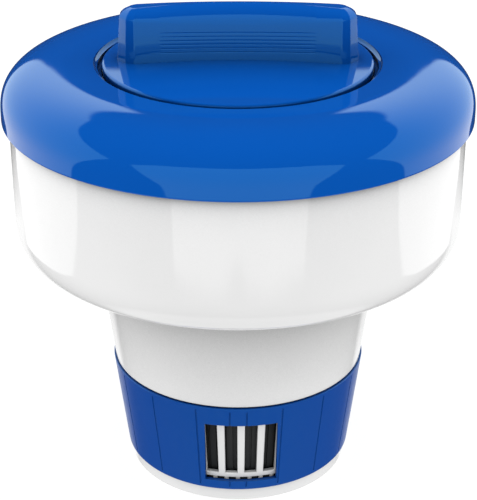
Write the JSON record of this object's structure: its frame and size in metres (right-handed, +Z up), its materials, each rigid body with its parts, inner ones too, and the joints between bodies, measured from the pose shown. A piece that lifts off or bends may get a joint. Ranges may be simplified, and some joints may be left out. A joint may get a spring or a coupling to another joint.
{
  "type": "floating chlorine dispenser",
  "caption": "Floating pool chemical dispenser: a white float with a tapered slotted chamber, a blue cover with a bayonet lid, and a turning ring that sets the flow.",
  "frame": {"origin": "centre of the flat underside of the base, on the main axis", "axes": "+Z up along the main axis; the lid's bar handle runs along X; -Y is the front, where a window in the control ring shows the slots"},
  "size_m": [0.205, 0.205, 0.2181],
  "materials": {
    "white_plastic": "gloss",
    "blue_plastic": "gloss",
    "ring_plastic": "satin",
    "black_plastic": "matte",
    "seal_rubber": "matte",
    "ballast_steel": "zinc plated",
    "screw_steel": "stainless"
  },
  "bodies": {
    "float": {"float_body": "white_plastic", "top_cover": "blue_plastic", "cover_seal": "seal_rubber", "throat_sleeve": "white_plastic", "throat_seal": "seal_rubber", "tablet_basket": "black_plastic", "ballast_ring": "ballast_steel", "base_cap": "white_plastic", "base_seal": "seal_rubber", "base_screws": "screw_steel"},
    "gasket": {"lid_gasket": "seal_rubber"},
    "lid": {"lid": "blue_plastic"},
    "ring": {"control_ring": "ring_plastic"}
  },
  "joints": [
    {"name": "lid_lift", "type": "slide", "parent": "float", "child": "gasket", "axis": [0, 0, 1], "range_m": [0, 0.12]},
    {"name": "lid_turn", "type": "hinge", "parent": "gasket", "child": "lid", "pos_m": [0, 0, 0.192], "axis": [0, 0, 1], "range_deg": [-45, 0]},
    {"name": "ring_turn", "type": "hinge", "parent": "float", "child": "ring", "pos_m": [0, 0, 0.03], "axis": [0, 0, 1], "range_deg": [0, 45]}
  ]
}
